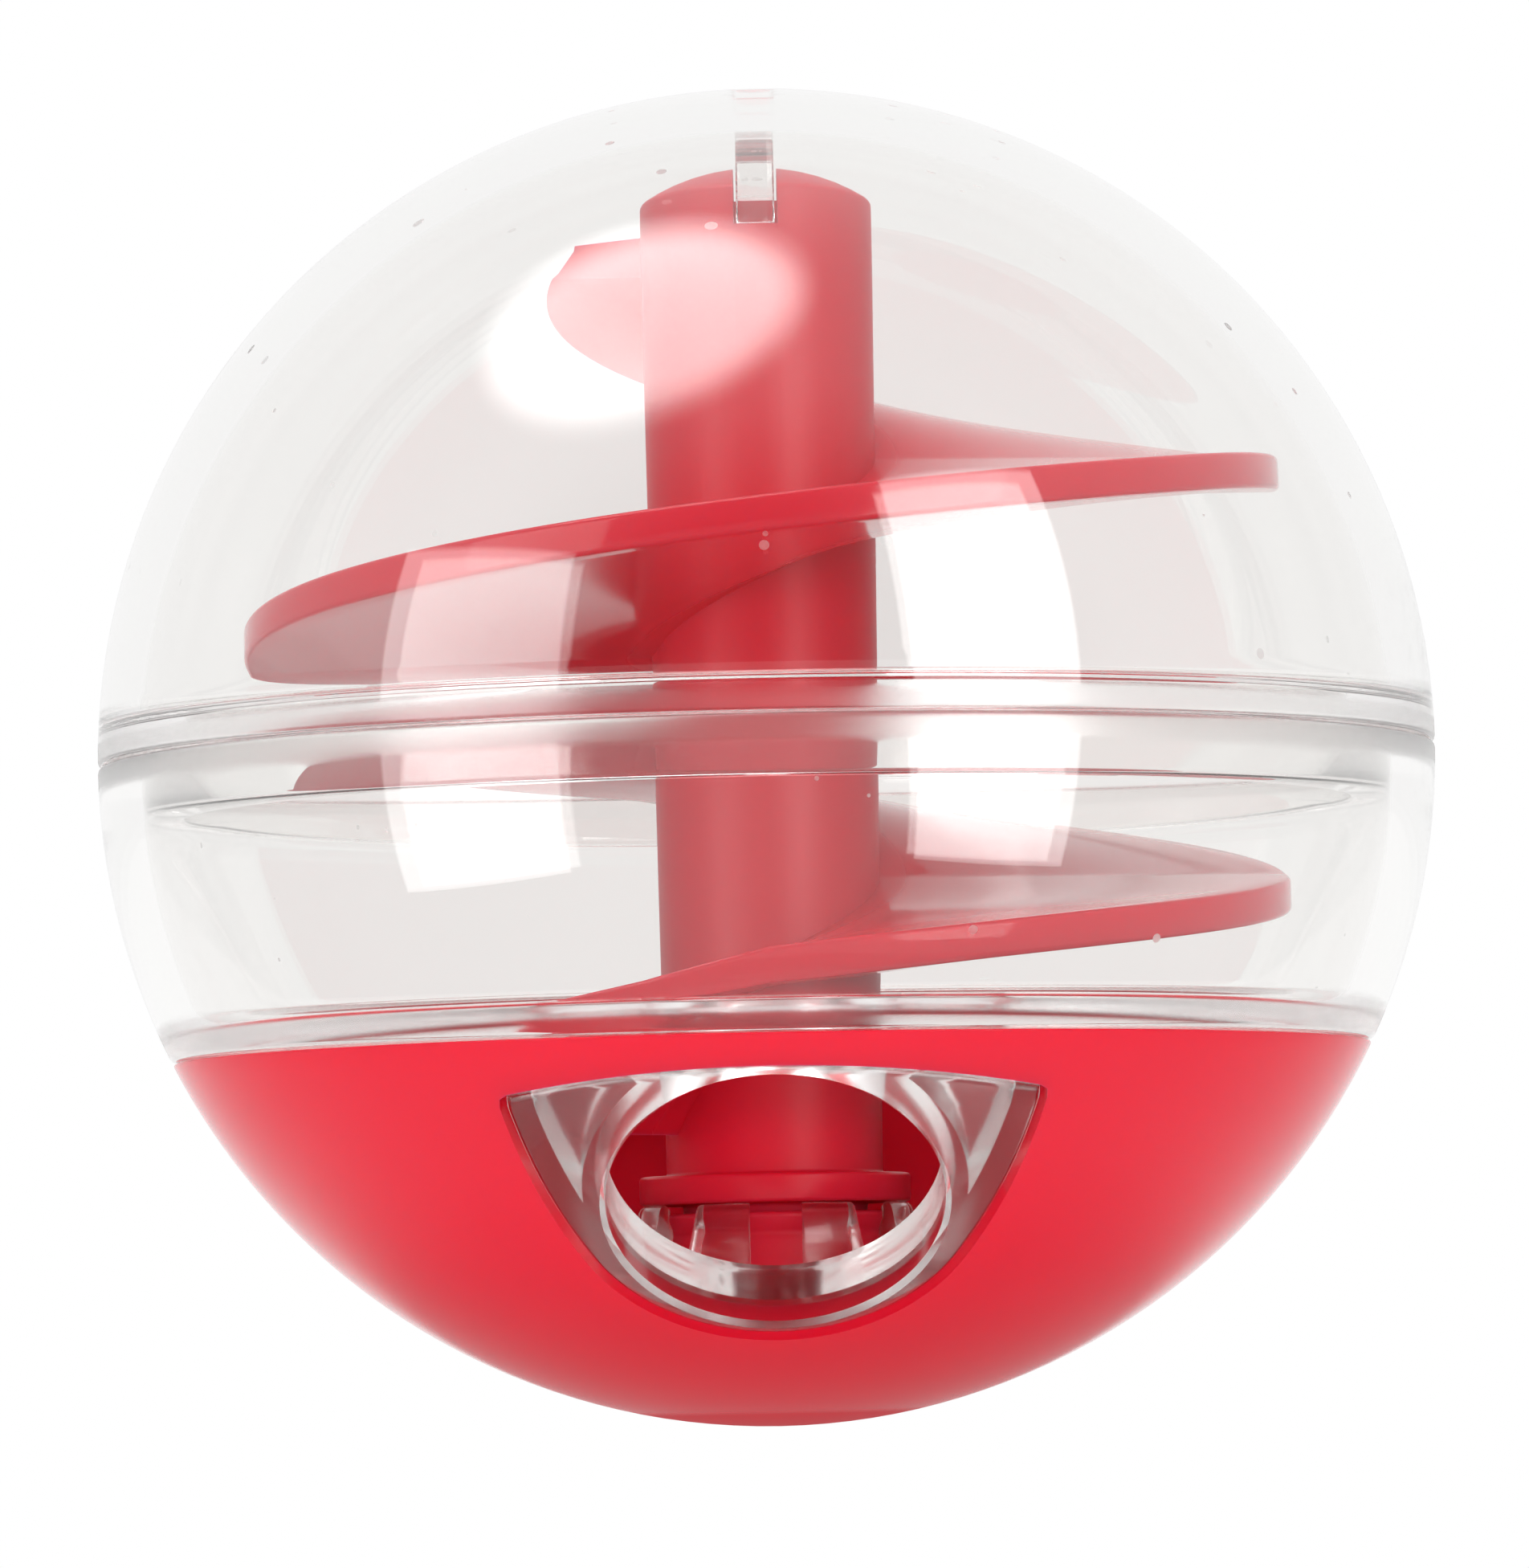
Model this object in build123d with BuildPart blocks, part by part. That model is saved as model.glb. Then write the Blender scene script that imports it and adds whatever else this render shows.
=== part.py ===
from build123d import *
from math import asin, cos, radians, sin, sqrt
import os

# Treat dispensing ball: a clear dome over a clear cup, a red cover snapped round the cup's
# lower half, and a red spiral that stands on the cup's ring of fingers.
# The origin is the centre of the ball, +Z is up and the outlet looks towards -Y. Millimetres.

# The ball
ball_radius = 35.0
shell_wall = 2.2
cut_overrun = 5.0

# The dome's skirt, which plugs into the cup at the equator
skirt_wall = 2.05
skirt_drop = 2.9
skirt_shoulder_rise = 1.85
skirt_clearance = 0.1

# The cover round the lower half
cover_wall = 2.0
cover_clearance = 0.2
ledge_web = 1.9

# The half-moon window in the cover, square to the outlet's axis
outlet_tilt = 45.0
window_width = 27.5
window_corner_rise = 5.7
window_crown_rise = 9.4
window_side_radius = 41.0
window_side_rise = 16.8
window_belly_radius = 11.0
window_corner_radius = 0.6
window_rim_web = 1.7

# The raised pad that fills the window, and the outlet through it
pad_clearance = 0.3
pad_sink = 0.2
pad_side_wall = 1.4
pad_face_wall = 1.9
outlet_radius = 8.5
outlet_lead = 0.35
outlet_tube_wall = 0.9

# The collar of snap fingers that stands in the cup
collar_bore_radius = 6.6
collar_wall = 1.5
collar_height = 7.2
finger_length = 5.2
finger_gap = 2.7
finger_slots = 4
finger_lead = 0.9
finger_lead_drop = 3.2
bead_drop = 1.6
bead_height = 1.4
bead_rise = 0.35

# The cover's hub, which the fingers hold
hub_clearance = 0.1
hub_wall = 1.6
hub_top_sink = 0.5

# The spiral's column
column_foot_radius = 5.65
column_head_radius = 6.15
column_crown_height = 2.0
column_crown_gap = 1.4
column_bore_radius = 3.4
column_roof = 1.8
flange_radius = 7.1
flange_thickness = 1.5
spigot_length = 5.0
spigot_clearance = 0.08

# The spiral's ramp; a lift is how far it climbs in a half turn
ramp_front_rise = 10.05
ramp_lead_lift = 19.6
ramp_front_lift = 8.6
ramp_back_lift = 13.4
ramp_lead_angle = 62.0
ramp_edge_thickness = 1.8
ramp_root_thickness = 2.4
ramp_shell_clearance = 1.3
ramp_side_relief = 2.0
ramp_taper_drop = 16.4
ramp_tip_drop = 4.5
ramp_tip_radius = 10.0

# The key under the dome and the slot for it in the column's head
key_width = 2.0
key_length = 9.0
key_leg_length = 3.6
key_depth = 1.6
key_leg_depth = 3.8
key_clearance = 0.15
key_end_clearance = 0.25

# Sizes that follow from those above
shell_inner_radius = ball_radius - shell_wall
cover_inner_radius = ball_radius - cover_wall
bowl_radius = cover_inner_radius - cover_clearance
bowl_inner_radius = bowl_radius - shell_wall
pad_radius = ball_radius - pad_sink
pad_inner_radius = pad_radius - pad_face_wall
window_crown_reach = sqrt(ball_radius**2 - window_crown_rise**2)
outlet_turn = radians(outlet_tilt)
window_crown_drop = window_crown_reach * sin(outlet_turn) - window_crown_rise * cos(outlet_turn)
cover_rim_drop = window_crown_drop - window_rim_web
seat_drop = skirt_drop + skirt_clearance
seat_radius = sqrt(shell_inner_radius**2 - seat_drop**2)
skirt_radius = seat_radius - skirt_clearance
skirt_inner_radius = skirt_radius - skirt_wall
step_drop = cover_rim_drop - ledge_web
collar_radius = collar_bore_radius + collar_wall
collar_top_drop = bowl_inner_radius - collar_height
bead_middle = -collar_top_drop - bead_drop
hub_radius = collar_bore_radius - hub_clearance
hub_bore_radius = hub_radius - hub_wall
hub_top = -collar_top_drop - hub_top_sink
flange_foot = -collar_top_drop
flange_top = flange_foot + flange_thickness
spigot_radius = hub_bore_radius - spigot_clearance
spigot_foot = flange_foot - spigot_length
column_top = shell_inner_radius - column_crown_gap
column_shoulder_rise = column_top - column_crown_height
key_foot = column_top - key_depth
key_leg_foot = column_top - key_leg_depth
slot_floor = key_foot - key_end_clearance
slot_leg_floor = key_leg_foot - key_end_clearance
column_bore_top = slot_leg_floor - column_roof

# The outlet's axis runs out of the ball's centre, forwards and down
outlet_plane = Plane(
    origin=(0, 0, 0),
    x_dir=(1, 0, 0),
    z_dir=(0, -cos(outlet_turn), -sin(outlet_turn)),
)
outlet_reach = ball_radius + cut_overrun


def ball_arc(radius, start_height, end_height):
    """An arc about the ball's centre between two heights, in a half section."""
    start = asin(start_height / radius)
    end = asin(end_height / radius)
    stations = (start, (start + end) / 2, end)
    return ThreePointArc(*[(radius * cos(turn), radius * sin(turn)) for turn in stations])


def radius_at(radius, height):
    """The half width of a ball of this radius at this height."""
    return sqrt(radius**2 - height**2)


def half_moon(inset):
    """The window's outline, drawn in by an inset: a crown arc, two side arcs and a round belly."""
    crown_sag = window_crown_rise - window_corner_rise
    crown_radius = ((window_width / 2) ** 2 + crown_sag**2) / (2 * crown_sag)
    side_reach = radius_at(window_side_radius, window_side_rise - window_corner_rise) - window_width / 2
    with BuildSketch(outlet_plane) as moon:
        with Locations((0, window_crown_rise - crown_radius)):
            Circle(crown_radius - inset)
        for side in (-side_reach, side_reach):
            with Locations((side, window_side_rise)):
                Circle(window_side_radius - inset, mode=Mode.INTERSECT)
        corners = moon.vertices().sort_by(Axis.Y)
        fillet(corners[0], window_belly_radius - inset)
        fillet(corners[1:], window_corner_radius)
    return moon.sketch


window_outline = half_moon(0)
pad_outline = half_moon(pad_clearance)
pocket_outline = half_moon(pad_clearance + pad_side_wall)

# Clear dome: the upper half shell, its skirt and the key under its crown
with BuildPart() as dome:
    with BuildSketch(Plane.XZ):
        with BuildLine():
            outside = ball_arc(ball_radius, ball_radius, 0)
            inside = ball_arc(shell_inner_radius, skirt_shoulder_rise, shell_inner_radius)
            Polyline(
                outside @ 1,
                (skirt_radius, 0),
                (skirt_radius, -skirt_drop),
                (skirt_inner_radius, -skirt_drop),
                (skirt_inner_radius, skirt_shoulder_rise),
                inside @ 0,
            )
            Line(inside @ 1, outside @ 0)
        make_face()
    revolve(axis=Axis.Z)
    # the key is a blade across the crown with a longer leg at the front
    key_root = shell_inner_radius + shell_wall / 2
    with BuildSketch(Plane.XY.offset(key_root)):
        Rectangle(key_width, key_length)
    extrude(amount=key_foot - key_root)
    with BuildSketch(Plane.XY.offset(key_root)):
        with Locations((0, (key_leg_length - key_length) / 2)):
            Rectangle(key_width, key_leg_length)
    extrude(amount=key_leg_foot - key_root)

# Raised pad of the cup: a half-moon block from inside the bowl's wall to the ball's skin
with BuildPart() as pad:
    extrude(pad_outline, amount=outlet_reach, dir=outlet_plane.z_dir)
    Sphere(pad_radius, mode=Mode.INTERSECT)
    Sphere((bowl_inner_radius + bowl_radius) / 2, mode=Mode.SUBTRACT)

# Hollow behind the pad: one pocket in each corner, beside the outlet's tube
with BuildPart() as pad_hollow:
    extrude(pocket_outline, amount=outlet_reach, dir=outlet_plane.z_dir)
    Sphere(pad_inner_radius, mode=Mode.INTERSECT)
    with BuildSketch(outlet_plane):
        Circle(outlet_radius + outlet_tube_wall)
    extrude(amount=outlet_reach, mode=Mode.SUBTRACT)

# Clear cup: the band under the seam, the ledge, the bowl inside the cover and the finger collar
with BuildPart() as cup:
    with BuildSketch(Plane.XZ):
        with BuildLine():
            band_out = ball_arc(ball_radius, 0, -cover_rim_drop)
            bowl_foot = -radius_at(bowl_radius, collar_bore_radius)
            bowl_out = ball_arc(bowl_radius, -cover_rim_drop, bowl_foot)
            floor_top = -radius_at(bowl_inner_radius, collar_radius)
            bowl_in = ball_arc(bowl_inner_radius, floor_top, -step_drop)
            band_in = ball_arc(shell_inner_radius, -step_drop, -seat_drop)
            Line(band_out @ 1, bowl_out @ 0)
            Polyline(
                bowl_out @ 1,
                (collar_bore_radius, bead_middle - bead_height / 2),
                (collar_bore_radius - bead_rise, bead_middle),
                (collar_bore_radius, bead_middle + bead_height / 2),
                (collar_bore_radius, -collar_top_drop),
                (collar_radius - finger_lead, -collar_top_drop),
                (collar_radius, -collar_top_drop - finger_lead_drop),
                bowl_in @ 0,
            )
            Line(bowl_in @ 1, band_in @ 0)
            Polyline(band_in @ 1, (seat_radius, 0), band_out @ 0)
        make_face()
    revolve(axis=Axis.Z)
    # slots right across the collar leave twice as many fingers, with a gap at the front
    with BuildSketch(Plane.XY.offset(-collar_top_drop)):
        with PolarLocations(0, finger_slots, start_angle=90, angular_range=180):
            Rectangle(2 * (collar_radius + collar_wall), finger_gap)
    extrude(amount=-finger_length, mode=Mode.SUBTRACT)
    add(pad.part)
    add(pad_hollow.part, mode=Mode.SUBTRACT)
    # the outlet: a round bore through the pad with a bevelled mouth
    with BuildSketch(outlet_plane):
        Circle(outlet_radius)
    extrude(amount=outlet_reach, mode=Mode.SUBTRACT)
    bore_rims = cup.edges().filter_by(GeomType.CIRCLE).filter_by(lambda rim: rim.radius == outlet_radius)
    chamfer(bore_rims.sort_by(Axis((0, 0, 0), outlet_plane.z_dir))[-1], outlet_lead)

# Red cover: a thin bowl with the half-moon window and the hub that the fingers hold
with BuildPart() as cover:
    with BuildSketch(Plane.XZ):
        with BuildLine():
            outside = ball_arc(ball_radius, -cover_rim_drop, -ball_radius)
            hub_foot = -radius_at(cover_inner_radius, hub_radius)
            inside = ball_arc(cover_inner_radius, hub_foot, -cover_rim_drop)
            groove_half = bead_height / 2 + hub_clearance
            Polyline(
                outside @ 1,
                (0, -cover_inner_radius),
                (hub_bore_radius, -cover_inner_radius),
                (hub_bore_radius, hub_top),
                (hub_radius, hub_top),
                (hub_radius, bead_middle + groove_half),
                (hub_radius - bead_rise, bead_middle),
                (hub_radius, bead_middle - groove_half),
                inside @ 0,
            )
            Line(inside @ 1, outside @ 0)
        make_face()
    revolve(axis=Axis.Z)
    extrude(window_outline, amount=outlet_reach, dir=outlet_plane.z_dir, mode=Mode.SUBTRACT)

# The ramp climbs steeply up to the front, then slowly over front half turns and faster over back ones
ramp_tip = column_top - ramp_tip_drop
ramp_ball_radius = bowl_inner_radius - ramp_shell_clearance
ramp_radius = ramp_ball_radius - ramp_side_relief
ramp_root_radius = (column_bore_radius + column_foot_radius) / 2


def ramp_span(half_turn_lift, turn):
    """A stretch of the ramp: a tapered blade swept up a right-handed helix, starting at +X."""
    with BuildPart() as span:
        with BuildLine() as path:
            Helix(2 * half_turn_lift, half_turn_lift * turn / 180, (ramp_root_radius + ramp_ball_radius) / 2)
        with BuildSketch(Plane.XZ):
            with BuildLine():
                Polyline(
                    (ramp_root_radius, -ramp_root_thickness / 2),
                    (ramp_ball_radius, -ramp_edge_thickness / 2),
                    (ramp_ball_radius, ramp_edge_thickness / 2),
                    (ramp_root_radius, ramp_root_thickness / 2),
                    close=True,
                )
            make_face()
        sweep(path=path.line, is_frenet=True)
    return span.part


# Ramp of the spiral: its stretches follow each other up the column and are trimmed to clear the shell
with BuildPart() as ramp:
    # angles are counted from the front, anticlockwise seen from above
    angle = -ramp_lead_angle
    foot = flange_top + ramp_front_rise - ramp_lead_lift * ramp_lead_angle / 180
    for lift, full_turn in (
        (ramp_lead_lift, ramp_lead_angle),
        (ramp_front_lift, 90),
        (ramp_back_lift, 180),
        (ramp_front_lift, 180),
        (ramp_back_lift, 180),
    ):
        turn = min(full_turn, (ramp_tip - foot) / lift * 180)
        if turn > 0:
            with Locations(Location((0, 0, foot), (0, 0, angle - 90))):
                add(ramp_span(lift, turn))
            angle += turn
            foot += lift * turn / 180
    # what the ramp may fill: the bowl's curve below, straight sides, a cone towards the crown
    with BuildSketch(Plane.XZ):
        with BuildLine():
            low = ball_arc(ramp_ball_radius, -ramp_ball_radius, -radius_at(ramp_ball_radius, ramp_radius))
            Polyline(
                low @ 1,
                (ramp_radius, column_top - ramp_taper_drop),
                (ramp_tip_radius, ramp_tip),
                (ramp_tip_radius, column_top),
                (0, column_top),
                low @ 0,
            )
        make_face()
    revolve(axis=Axis.Z, mode=Mode.INTERSECT)

# Red spiral: a hollow column with a crowned, slotted head, a foot flange, a spigot and the ramp
with BuildPart() as spiral:
    add(ramp.part)
    with BuildSketch(Plane.XZ):
        with BuildLine():
            crown_radius = (column_head_radius**2 + column_crown_height**2) / (2 * column_crown_height)
            half_turn = asin(column_head_radius / crown_radius) / 2
            crown = ThreePointArc(
                (column_head_radius, column_shoulder_rise),
                (crown_radius * sin(half_turn), column_top - crown_radius * (1 - cos(half_turn))),
                (0, column_top),
            )
            Polyline(
                crown @ 1,
                (0, spigot_foot),
                (spigot_radius, spigot_foot),
                (spigot_radius, flange_foot),
                (flange_radius, flange_foot),
                (flange_radius, flange_top),
                (column_foot_radius, flange_top),
                crown @ 0,
            )
        make_face()
    revolve(axis=Axis.Z)
    with BuildSketch(Plane.XY.offset(spigot_foot)):
        Circle(column_bore_radius)
    extrude(amount=column_bore_top - spigot_foot, mode=Mode.SUBTRACT)
    # the slot runs right across the head and is deeper at the front
    slot_width = key_width + 2 * key_clearance
    slot_step = key_leg_length - key_length / 2 + key_end_clearance
    with BuildSketch(Plane.XY.offset(column_top)):
        Rectangle(slot_width, 2 * flange_radius)
    extrude(amount=slot_floor - column_top, mode=Mode.SUBTRACT)
    with BuildSketch(Plane.XY.offset(column_top)):
        with Locations((0, (slot_step - flange_radius) / 2)):
            Rectangle(slot_width, slot_step + flange_radius)
    extrude(amount=slot_leg_floor - column_top, mode=Mode.SUBTRACT)

os.makedirs("parts", exist_ok=True)
dome.part.label = "dome"
export_step(dome.part, "parts/dome.step")
cup.part.label = "cup"
export_step(cup.part, "parts/cup.step")
cover.part.label = "cover"
export_step(cover.part, "parts/cover.step")
spiral.part.label = "spiral"
export_step(spiral.part, "parts/spiral.step")
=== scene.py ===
import bmesh
import bpy
from math import asin, atan2, cos, pi, radians, sin, sqrt
from mathutils import Matrix, Vector


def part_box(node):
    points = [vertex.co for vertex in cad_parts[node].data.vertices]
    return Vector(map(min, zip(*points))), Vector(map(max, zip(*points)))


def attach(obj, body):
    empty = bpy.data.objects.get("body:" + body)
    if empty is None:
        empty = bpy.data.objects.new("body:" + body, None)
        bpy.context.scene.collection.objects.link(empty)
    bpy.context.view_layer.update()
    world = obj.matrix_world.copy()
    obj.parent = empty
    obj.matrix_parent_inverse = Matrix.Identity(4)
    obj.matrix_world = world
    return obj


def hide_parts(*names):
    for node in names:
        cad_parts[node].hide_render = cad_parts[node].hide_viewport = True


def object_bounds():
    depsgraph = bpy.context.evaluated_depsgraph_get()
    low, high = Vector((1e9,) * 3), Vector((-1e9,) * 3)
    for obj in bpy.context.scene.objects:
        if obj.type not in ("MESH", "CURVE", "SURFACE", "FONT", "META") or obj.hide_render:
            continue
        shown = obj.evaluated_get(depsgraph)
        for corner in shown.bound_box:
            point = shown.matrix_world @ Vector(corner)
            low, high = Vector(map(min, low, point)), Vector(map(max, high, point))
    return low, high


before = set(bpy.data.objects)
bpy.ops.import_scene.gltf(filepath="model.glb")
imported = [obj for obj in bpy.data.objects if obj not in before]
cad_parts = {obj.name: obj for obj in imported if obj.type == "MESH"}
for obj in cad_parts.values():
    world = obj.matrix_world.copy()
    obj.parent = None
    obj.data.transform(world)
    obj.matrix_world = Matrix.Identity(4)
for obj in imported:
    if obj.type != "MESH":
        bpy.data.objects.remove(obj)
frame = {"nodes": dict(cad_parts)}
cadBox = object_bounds()
print("frame loaded:", ", ".join(frame["nodes"]))

# Sizes in metres. The origin is the ball's centre, +Z up, the outlet towards -Y.
ball = {
    "radius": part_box("dome")[1].z,
    "wall": 0.0022,
    "coverWall": 0.002,
    "coverGap": 0.0002,
    "rimHeight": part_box("cover")[1].z,  # the cover's rim, under the cup's ledge
    "outletTilt": radians(45),
    "roundSteps": 192,  # facets round a full turn
    "arcTurn": radians(2),  # turn of one facet along an arc
    "overrun": 0.004,
    "seatDrop": 0.003,  # depth of the seat for the dome's skirt
    "seatGap": 0.00006,  # air between faces that touch
    "sharpAngle": radians(32),
    "weld": 1e-7,  # points closer than this are one
    "pieceWeld": 2e-7,
    "cutWeld": 1e-6,
}
shellInner = ball["radius"] - ball["wall"]
coverInner = ball["radius"] - ball["coverWall"]
bowlOuter = coverInner - ball["coverGap"]
bowlInner = bowlOuter - ball["wall"]
seatRadius = sqrt(shellInner**2 - ball["seatDrop"] ** 2)

# The outlet's own axes: across, up the ball's face and out of the ball
outletOut = Vector((0, -cos(ball["outletTilt"]), -sin(ball["outletTilt"])))
outletUp = Vector((0, -sin(ball["outletTilt"]), cos(ball["outletTilt"])))
outletAcross = Vector((1, 0, 0))


def ballArc(radius, fromHeight, toHeight):
    # points of a half section, along an arc about the ball's centre
    start = asin(max(-1, min(1, fromHeight / radius)))
    end = asin(max(-1, min(1, toHeight / radius)))
    count = max(2, round(abs(end - start) / ball["arcTurn"]))
    turns = [start + (end - start) * step / count for step in range(count + 1)]
    return [(radius * cos(turn), radius * sin(turn)) for turn in turns]


def heightOn(radius, across):
    return sqrt(radius**2 - across**2)


def toObject(bm, name):
    mesh = bpy.data.meshes.new(name)
    bm.to_mesh(mesh)
    bm.free()
    piece = bpy.data.objects.new(name, mesh)
    bpy.context.scene.collection.objects.link(piece)
    return piece


def roundOff(bm, geom, offset, affect, segments):
    bmesh.ops.bevel(
        bm, geom=geom, offset=offset, offset_type="OFFSET", affect=affect,
        segments=segments, profile=0.5, clamp_overlap=True, material=-1,
    )


def turned(points, name, edgeRound, closed=False):
    # a half section with its corners rounded, spun about the ball's axis
    bm = bmesh.new()
    verts = [bm.verts.new((max(across, 0), 0, height)) for across, height in points]
    ends = verts[1:] + verts[:1] if closed else verts[1:]
    for a, b in zip(verts, ends):
        bm.edges.new((a, b))
    corners = []
    for v in verts:
        if len(v.link_edges) == 2 and v.co.x > edgeRound:
            a, b = [e.other_vert(v).co - v.co for e in v.link_edges]
            if pi - a.angle(b) > ball["sharpAngle"]:
                corners.append(v)
    roundOff(bm, corners, edgeRound, "VERTICES", 3)
    bmesh.ops.spin(
        bm, geom=bm.verts[:] + bm.edges[:], cent=(0, 0, 0), axis=(0, 0, 1),
        angle=2 * pi, steps=ball["roundSteps"], use_merge=True,
    )
    bmesh.ops.remove_doubles(bm, verts=bm.verts[:], dist=ball["weld"])
    bmesh.ops.recalc_face_normals(bm, faces=bm.faces[:])
    return toObject(bm, name)


def stacked(loops, name):
    # closed loops bridged one to the next, with the first and the last filled
    bm = bmesh.new()
    rings = []
    for loop in loops:
        verts = [bm.verts.new(point) for point in loop]
        rings.append([bm.edges.new((a, b)) for a, b in zip(verts, verts[1:] + verts[:1])])
    for lower, upper in zip(rings, rings[1:]):
        bmesh.ops.bridge_loops(bm, edges=lower + upper)
    bmesh.ops.contextual_create(bm, geom=rings[0])
    bmesh.ops.contextual_create(bm, geom=rings[-1])
    bmesh.ops.recalc_face_normals(bm, faces=bm.faces[:])
    return toObject(bm, name)


def slab(outline, depth, move, name, edgeRound=0):
    # a flat outline in XY given a depth along Z, then put in its place
    bm = bmesh.new()
    face = bm.faces.new([bm.verts.new((x, y, 0)) for x, y in outline])
    grown = bmesh.ops.extrude_face_region(bm, geom=[face])["geom"]
    lifted = [v for v in grown if isinstance(v, bmesh.types.BMVert)]
    bmesh.ops.translate(bm, vec=(0, 0, depth), verts=lifted)
    if edgeRound:
        roundOff(bm, bm.edges[:], edgeRound, "EDGES", 2)
    bmesh.ops.transform(bm, matrix=move, verts=bm.verts[:])
    bmesh.ops.recalc_face_normals(bm, faces=bm.faces[:])
    return toObject(bm, name)


def combine(piece, tool, operation):
    # a boolean that is applied at once; the tool is used up
    modifier = piece.modifiers.new("combine", "BOOLEAN")
    modifier.object = tool
    modifier.operation = operation
    modifier.solver = "EXACT"
    bpy.context.view_layer.update()
    graph = bpy.context.evaluated_depsgraph_get()
    mesh = bpy.data.meshes.new_from_object(piece.evaluated_get(graph))
    piece.modifiers.clear()
    spare = piece.data
    piece.data = mesh
    bpy.data.meshes.remove(spare)
    bpy.data.meshes.remove(tool.data)


def finishPiece(piece, body, node, material):
    # merge what the cuts left double, give the finish and stand in for the CAD node
    mesh = piece.data
    bm = bmesh.new()
    bm.from_mesh(mesh)
    bmesh.ops.remove_doubles(bm, verts=bm.verts[:], dist=ball["pieceWeld"])
    bmesh.ops.dissolve_degenerate(bm, edges=bm.edges[:], dist=ball["weld"])
    bm.to_mesh(mesh)
    bm.free()
    mesh.name = piece.name
    mesh.shade_smooth()
    mesh.set_sharp_from_angle(angle=ball["sharpAngle"])
    mesh.materials.clear()
    mesh.materials.append(material)
    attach(piece, body)
    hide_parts(node)
    print(piece.name, len(mesh.polygons), "faces")


# Finishes

def link(tree, start, end):
    tree.links.new(start, end)


def feed(tree, socket, value):
    # a socket takes a link or a plain value
    if isinstance(value, bpy.types.NodeSocket):
        link(tree, value, socket)
    else:
        socket.default_value = value


def mathNode(tree, operation, *values, clamp=False):
    node = tree.nodes.new("ShaderNodeMath")
    node.operation = operation
    node.use_clamp = clamp
    for socket, value in zip(node.inputs, values):
        feed(tree, socket, value)
    return node.outputs[0]


def vectorNode(tree, operation, *values):
    node = tree.nodes.new("ShaderNodeVectorMath")
    node.operation = operation
    for socket, value in zip(node.inputs, values):
        feed(tree, socket, value)
    return node.outputs


def objectCoords(tree):
    return tree.nodes.new("ShaderNodeTexCoord").outputs["Object"]


# Wear that every moulding has: slow flow waves, fine scratches and specks of dust
wear = {
    "inputs": {"Flow Scale": 60.0, "Scratch Scale": 180.0, "Speck Scale": 420.0, "Speck Share": 0.1},
    "flowDetail": 3,
    "scratchLays": (((0.4, 0.9, 0.3), (1, 22, 1)), ((1.2, -0.5, 0.8), (24, 1, 1))),  # turn, stretch
    "scratchDetail": 1,
    "scratchFineness": 90,
    "patchScale": 45,
    "patchFrom": 0.55,
    "patchContrast": 6,
    "speckReach": 0.16,
}


def mouldedFinishGroup():
    group = bpy.data.node_groups.new("mouldedFinish", "ShaderNodeTree")
    for name, value in wear["inputs"].items():
        socket = group.interface.new_socket(name, in_out="INPUT", socket_type="NodeSocketFloat")
        socket.default_value = value
    for name in ("Flow", "Scratch", "Speck"):
        group.interface.new_socket(name, in_out="OUTPUT", socket_type="NodeSocketFloat")
    nodes = group.nodes
    entry = nodes.new("NodeGroupInput")
    leave = nodes.new("NodeGroupOutput")
    coords = objectCoords(group)

    flow = nodes.new("ShaderNodeTexNoise")
    flow.inputs["Detail"].default_value = wear["flowDetail"]
    link(group, coords, flow.inputs["Vector"])
    link(group, entry.outputs["Flow Scale"], flow.inputs["Scale"])
    link(group, flow.outputs["Fac"], leave.inputs["Flow"])

    # scratches: two sheets of noise, each drawn out along its own direction
    scratches = []
    for turn, stretch in wear["scratchLays"]:
        mapping = nodes.new("ShaderNodeMapping")
        mapping.inputs["Rotation"].default_value = turn
        mapping.inputs["Scale"].default_value = stretch
        noise = nodes.new("ShaderNodeTexNoise")
        noise.inputs["Detail"].default_value = wear["scratchDetail"]
        link(group, coords, mapping.inputs["Vector"])
        link(group, mapping.outputs["Vector"], noise.inputs["Vector"])
        link(group, entry.outputs["Scratch Scale"], noise.inputs["Scale"])
        ridge = mathNode(group, "ABSOLUTE", mathNode(group, "SUBTRACT", noise.outputs["Fac"], 0.5))
        slope = mathNode(group, "MULTIPLY", ridge, wear["scratchFineness"])
        scratches.append(mathNode(group, "SUBTRACT", 1, slope, clamp=True))
    patches = nodes.new("ShaderNodeTexNoise")
    patches.inputs["Scale"].default_value = wear["patchScale"]
    link(group, coords, patches.inputs["Vector"])
    worn = mathNode(group, "SUBTRACT", patches.outputs["Fac"], wear["patchFrom"])
    worn = mathNode(group, "MULTIPLY", worn, wear["patchContrast"], clamp=True)
    both = mathNode(group, "MAXIMUM", *scratches)
    link(group, mathNode(group, "MULTIPLY", both, worn), leave.inputs["Scratch"])

    # specks: a dot in some of the cells
    cells = nodes.new("ShaderNodeTexVoronoi")
    link(group, coords, cells.inputs["Vector"])
    link(group, entry.outputs["Speck Scale"], cells.inputs["Scale"])
    pick = nodes.new("ShaderNodeSeparateColor")
    link(group, cells.outputs["Color"], pick.inputs["Color"])
    chosen = mathNode(group, "LESS_THAN", pick.outputs["Red"], entry.outputs["Speck Share"])
    reach = mathNode(group, "MULTIPLY", pick.outputs["Green"], wear["speckReach"])
    inside = mathNode(group, "LESS_THAN", cells.outputs["Distance"], reach)
    link(group, mathNode(group, "MULTIPLY", chosen, inside), leave.inputs["Speck"])
    return group


mouldedFinish = mouldedFinishGroup()


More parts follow.
